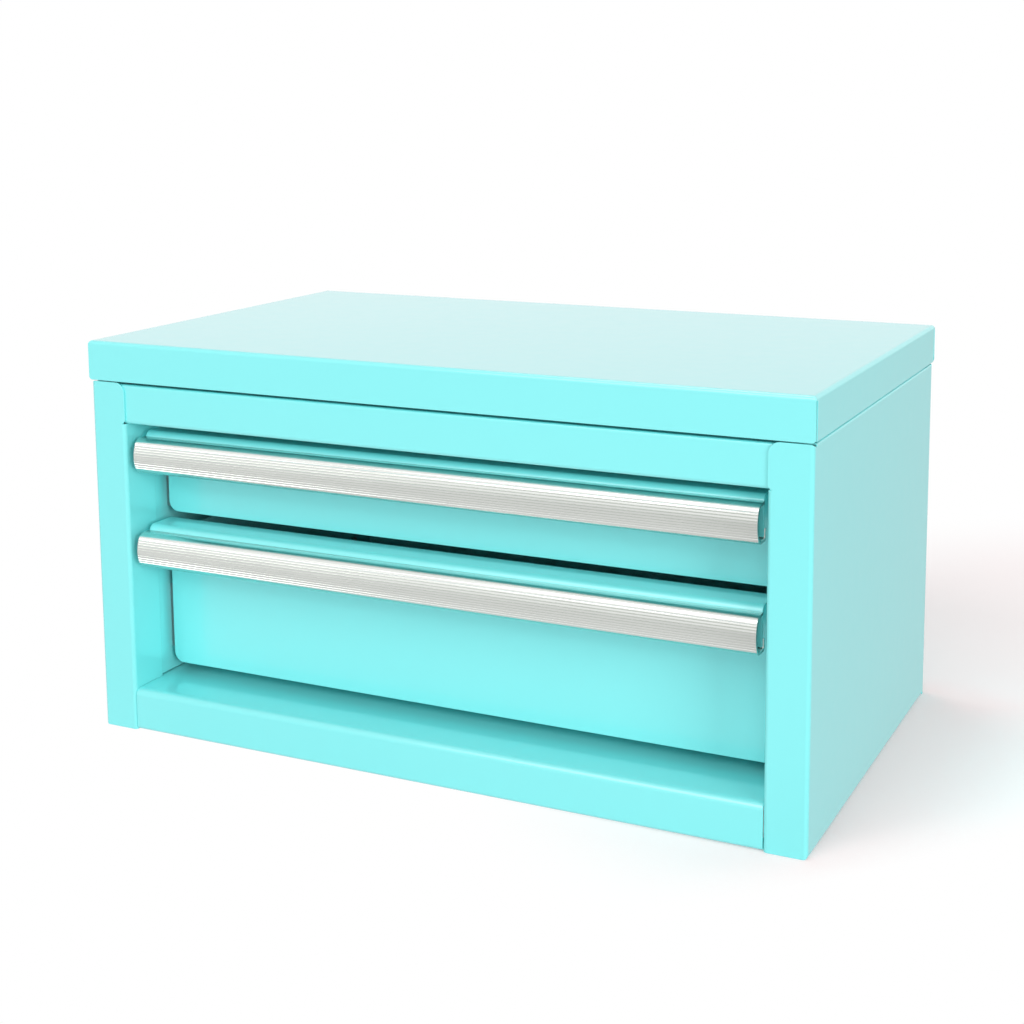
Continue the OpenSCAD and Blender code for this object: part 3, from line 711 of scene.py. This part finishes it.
def add_wings(tray, edge_x, level, start, fold_way):
    """Pulls the floor's side edges out to the walls and folds them up or down."""
    take_hold(tray)
    bpy.ops.object.mode_set(mode="EDIT")
    slice_at("Y", start, PANEL_END)
    for side in (-1, 1):
        edge, wall = side * edge_x, side * (WALL_X - MID)
        pick("EDGE", lambda mid, way: (
            near(mid.x, edge) and near(mid.z, level) and start < mid.y < PANEL_END))
        push_out((wall - edge, 0, 0))
        push_out((0, 0, fold_way * (WELD_FLANGE - MID)))
        pick("EDGE", lambda mid, way: near(mid.x, wall) and near(mid.z, level) and runs(way, "Y"))
        bpy.ops.mesh.bevel(offset=FOLD - MID, segments=BEND_STEPS, affect="EDGES")
    bpy.ops.object.mode_set(mode="OBJECT")


def till():
    """The tray under the lid. Its front wall runs on behind the posts."""
    top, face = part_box("till_pan")[1].z - HEADER_STEP, FRONT + SHEET + MID
    end = HALF - FLANGE - PART_GAP
    tray = fold_strip("till", "X", (-end, end), [
        (FRONT + SHEET + HEADER_LIP, top - MID), (face, top - MID), (face, TILL_Z + MID),
        (REAR + MID, TILL_Z + MID), (REAR + MID, TILL_Z + WELD_FLANGE)], [RIM_FOLD, FOLD, FOLD])
    add_wings(tray, end, TILL_Z + MID, PANEL_START, 1)
    bpy.ops.object.mode_set(mode="EDIT")
    for side in (-1, 1):
        pick("EDGE", lambda mid, way: near(mid.x, side * end) and near(mid.y, face) and runs(way, "Z"))
        push_out((side * (HALF - FOLD - end), 0, 0))
    bpy.ops.object.mode_set(mode="OBJECT")
    return thicken(tray)


def base():
    """The floor of the cabinet with the rail in front, between the posts."""
    low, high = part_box("base_pan")
    face, foot, top = FRONT + RAIL_STEP + MID, low.z - RAIL_DROP + MID, high.z - MID
    end = POST_X - RAIL_PLAY
    tray = fold_strip("base", "X", (-end, end), [
        (FRONT + WELD_FLANGE, foot), (face, foot), (face, top),
        (REAR + MID, top), (REAR + MID, high.z - WELD_FLANGE)], [FOLD, RAIL_R, FOLD])
    add_wings(tray, end, top, FRONT + POST_RETURN + PART_GAP, -1)
    return thicken(tray)


hand_over(till(), "till_pan")
hand_over(base(), "base_pan")

# %% [markdown]
# ## Lid
# The lid is a shallow tray turned over. Strips would do here too, but its folds run all round, so it
# starts as a box without a bottom. The top edges are bevelled to the fold's radius, the side walls
# are cut back from the front and rear walls to leave the open corner seams, and the lower edges are
# folded in as lips that stiffen the sheet. The side walls end a few tenths of a millimetre higher
# than the front, so that the gap under them shows as a line.

# %% Start the lid as an open box
def lid_blank(low, high):
    """A box without a bottom, with its upper edges bevelled as folds, left in edit mode."""
    bpy.ops.object.select_all(action="DESELECT")
    bpy.ops.mesh.primitive_cube_add(size=1, location=(low + high) / 2)
    shell = bpy.context.object
    shell.name = shell.data.name = "lid"
    shell.scale = high - low
    bpy.ops.object.transform_apply(location=True, rotation=True, scale=True)
    bpy.ops.object.mode_set(mode="EDIT")
    pick("FACE", lambda mid, way: way.z < -STRAIGHT)
    bpy.ops.mesh.delete(type="FACE")
    pick("EDGE", lambda mid, way: near(mid.z, high.z))
    bpy.ops.mesh.bevel(offset=FOLD, segments=BEND_STEPS, affect="EDGES")
    return shell


# %% Cut and fold the lid
LID_LIP = 6 * MM
LID_SEAM = 1 * MM
LID_CORNER = 1.5 * MM
LID_SIDE_LIFT = 0.35 * MM
SIDE_LIP_SHORT = 18 * MM
KNUCKLE_RELIEF = 0.6 * MM


def lid():
    """Cuts the seams, folds the lips, clears the hinge's knuckles and rounds the lower corners."""
    low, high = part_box("lid_shell")
    shell = lid_blank(low, high)
    wall_start, wall_end = low.y + SHEET + LID_SEAM, high.y - SHEET - LID_SEAM
    lip_start = low.y + SHEET + LID_LIP + PART_GAP
    lip_end = lip_start + (high.y - low.y) - SIDE_LIP_SHORT
    lip_x = high.x - SHEET - LID_LIP
    hinge_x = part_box("hinge_lid_leaf")[1].x + PART_GAP
    side_foot = low.z + LID_SIDE_LIFT
    slice_at("Y", wall_start, lip_start, lip_end, wall_end)
    slice_at("X", -lip_x, -hinge_x, hinge_x, lip_x)
    pick("FACE", lambda mid, way: (
        runs(way, "X") and mid.z < high.z - FOLD and not wall_start < mid.y < wall_end))
    bpy.ops.mesh.delete(type="FACE")
    pick("EDGE", lambda mid, way: near(mid.z, low.z) and near(mid.y, low.y) and abs(mid.x) < lip_x)
    push_out((0, LID_LIP + SHEET, 0))
    for side in (-1, 1):
        wall = side * high.x
        pick("EDGE", lambda mid, way: (
            near(mid.z, low.z) and near(mid.x, wall) and wall_start < mid.y < wall_end))
        bpy.ops.transform.translate(value=(0, 0, LID_SIDE_LIFT))
        pick("EDGE", lambda mid, way: (
            near(mid.z, side_foot) and near(mid.x, wall) and lip_start < mid.y < lip_end))
        push_out((-side * (LID_LIP + SHEET), 0, 0))
    pick("EDGE", lambda mid, way: near(mid.z, low.z) and near(mid.y, high.y) and abs(mid.x) < hinge_x)
    bpy.ops.transform.translate(value=(0, 0, KNUCKLE_RELIEF))
    pick("VERT", lambda co: (
        near(co.z, low.z) and near(abs(co.x), high.x) and (near(co.y, low.y) or near(co.y, high.y))))
    bpy.ops.mesh.bevel(offset=LID_CORNER, segments=BEND_STEPS, affect="VERTICES")
    bpy.ops.object.mode_set(mode="OBJECT")
    return thicken(shell, side=-1)


hand_over(lid(), "lid_shell")

# %% [markdown]
# ## Drawers
# A drawer front is a panel with round lower corners. Its top is folded forward as a ledge and down
# again as a flange, a little narrower than the panel, and the pull clips over that flange. Behind
# it a trough with a back plate makes the drawer. A front and a trough are separate sheets on the
# real chest, so each is a strip of its own. The front is folded at the ledge's width, and its panel
# is then pulled out to the full width.

# %% Fold the drawers
RECESS = 24 * MM
LEDGE_R = 3 * MM
LEDGE_INSET = 1.9 * MM
FRONT_CORNER = 4.5 * MM
FLANGE_DROP = 14.8 * MM


def drawer_front(level):
    """The panel, the ledge and the flange of a drawer's front."""
    low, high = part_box(f"{level}_drawer_front")
    panel_y, flange_y = FRONT + RECESS + MID, low.y + MID
    ledge_x, ledge_z = high.x - LEDGE_INSET, high.z - MID
    sheet = fold_strip(f"{level}_front", "X", (-ledge_x, ledge_x), [
        (panel_y, low.z), (panel_y, ledge_z), (flange_y, ledge_z), (flange_y, high.z - FLANGE_DROP)],
        [LEDGE_R, LEDGE_R])
    bpy.ops.object.mode_set(mode="EDIT")
    for side in (-1, 1):
        def at_joint(mid, way):
            return near(mid.x, side * ledge_x) and near(mid.y, panel_y) and runs(way, "Z")
        pick("EDGE", at_joint)
        push_out((side * LEDGE_INSET, 0, 0))
        pick("EDGE", at_joint)
        bpy.ops.mesh.dissolve_edges()
    pick("VERT", lambda co: near(co.z, low.z) and near(abs(co.x), high.x))
    bpy.ops.mesh.bevel(offset=FRONT_CORNER, segments=CORNER_STEPS, affect="VERTICES")
    bpy.ops.object.mode_set(mode="OBJECT")
    return thicken(sheet)


def drawer_pan(level):
    """The trough behind a front, with its back plate."""
    low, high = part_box(f"{level}_drawer_pan")
    side_x, back = high.x - MID, high.y - MID
    trough = fold_strip(f"{level}_pan", "Y", (low.y, back), [
        (-side_x, high.z), (-side_x, low.z + MID), (side_x, low.z + MID), (side_x, high.z)])
    bpy.ops.object.mode_set(mode="EDIT")
    pick("VERT", lambda co: near(co.y, back))
    bpy.ops.mesh.edge_face_add()
    bpy.ops.mesh.select_all(action="SELECT")
    bpy.ops.mesh.normals_make_consistent(inside=False)
    bpy.ops.object.mode_set(mode="OBJECT")
    return thicken(trough)


for level in ("lower", "upper"):
    hand_over(drawer_front(level), f"{level}_drawer_front")
    hand_over(drawer_pan(level), f"{level}_drawer_pan")

# %% [markdown]
# ## Pulls
# A pull is an aluminium extrusion with a round, ribbed face. Its section is drawn the way the die
# was: a short leg against the flange is spun round the upper corner, round the face and round the
# lower corner, and ends in a hook behind the flange. Ribs could be a bump in the finish, but then
# they would vanish at the edge of the face. The spin's steps are a fifth of the rib pitch, so every
# fifth line along the face can be picked and pressed in as a groove. The top is half a millimetre
# higher than the solid's, which leaves as much of the ledge in sight as on the real chest.

# %% Press the grooves
FACE_R = 12 * MM
RIB_STRIPS = 5
GROOVE_DEPTH = 0.36 * MM
GROOVE_ANGLE = math.radians(40)


def press_grooves(face_y, face_z, first, step):
    """Presses every fifth line of the active pull's face in, from an angle downwards, and counts them."""
    def groove_line(mid, way):
        across = Vector((0, mid.y - face_y, mid.z - face_z))
        if not runs(way, "X") or not near(across.length, FACE_R):
            return False
        place = round((first - math.atan2(across.z, -across.y)) / step)
        return place > 0 and place % RIB_STRIPS == 1

    bpy.ops.object.mode_set(mode="EDIT")
    grooves = pick("EDGE", groove_line)
    bpy.ops.transform.shrink_fatten(value=-GROOVE_DEPTH)
    bpy.ops.mesh.customdata_custom_splitnormals_clear()
    bpy.ops.object.mode_set(mode="OBJECT")
    bpy.ops.object.shade_smooth_by_angle(angle=GROOVE_ANGLE)
    return grooves


# %% Extrude the pulls
PULL_WALL = 1.2 * MM
PULL_R = 4 * MM
PULL_RISE = 0.5 * MM
SMOOTH_H = 2.3 * MM
RIB_PITCH = 1.05 * MM
HOOK_H = 4.6 * MM


def turn_round(centre, angle, steps=BEND_STEPS):
    """Spins the selected edge about a line along X."""
    bpy.ops.mesh.spin(steps=steps, angle=-angle, center=centre, axis=(1, 0, 0))


def pull(level):
    """Spins a pull's section from its upper leg to its hook, then gives it its wall and its grooves."""
    low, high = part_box(f"{level}_pull")
    top = high.z + PULL_RISE
    height, leg_z = top - low.z, top - PULL_WALL / 2
    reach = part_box(f"{level}_drawer_front")[0].y
    face_y, face_z = low.y + FACE_R, (low.z + top) / 2
    lean = math.asin((height / 2 - PULL_R) / (FACE_R - PULL_R))
    corner_y = face_y - math.cos(lean) * (FACE_R - PULL_R)
    face_steps = round(2 * lean * FACE_R / (RIB_PITCH / RIB_STRIPS))
    hook_r = PULL_WALL + PART_GAP
    bar = fold_strip(f"{level}_pull_bar", "X", (low.x, high.x), [(reach, leg_z), (corner_y, leg_z)])
    bpy.ops.object.mode_set(mode="EDIT")
    pick("EDGE", lambda mid, way: near(mid.y, corner_y))
    turn_round((0, corner_y, top - PULL_R), math.pi / 2 - lean)
    turn_round((0, face_y, face_z), 2 * lean, face_steps)
    turn_round((0, corner_y, low.z + PULL_R), math.pi / 2 - lean)
    push_out((0, high.y - hook_r - corner_y, 0))
    turn_round((0, high.y - hook_r, low.z + hook_r), math.pi / 2)
    push_out((0, 0, HOOK_H - hook_r))
    bpy.ops.mesh.select_all(action="SELECT")
    bpy.ops.mesh.remove_doubles(threshold=TINY / 10)
    bpy.ops.mesh.normals_make_consistent(inside=False)
    bpy.ops.object.mode_set(mode="OBJECT")
    thicken(bar, thick=PULL_WALL)
    ribs_start = math.asin((height / 2 - SMOOTH_H) / FACE_R)
    print(level, "pull: grooves", press_grooves(face_y, face_z, ribs_start, 2 * lean / face_steps))
    return bar


for level in ("lower", "upper"):
    hand_over(pull(level), f"{level}_pull")

# %% [markdown]
# ## Slides, hinge and small parts
# The ball slides, the hinge, the back, the rivets and the rubber bumpers could be made again too, but
# they are right as solids. So they stay and only get their finishes.

# %% Finish the parts that stay
kept = [node for node in frame["nodes"] if not frame["nodes"][node].hide_render]
for node in kept:
    part = frame["nodes"][node]
    part.data.materials.clear()
    part.data.materials.append(finishes[slot_of[node]])
print("kept as solids:", kept)

# %% [markdown]
# ## Last update
# The view layer is updated once more.

# %% Update the view layer
bpy.context.view_layer.update()
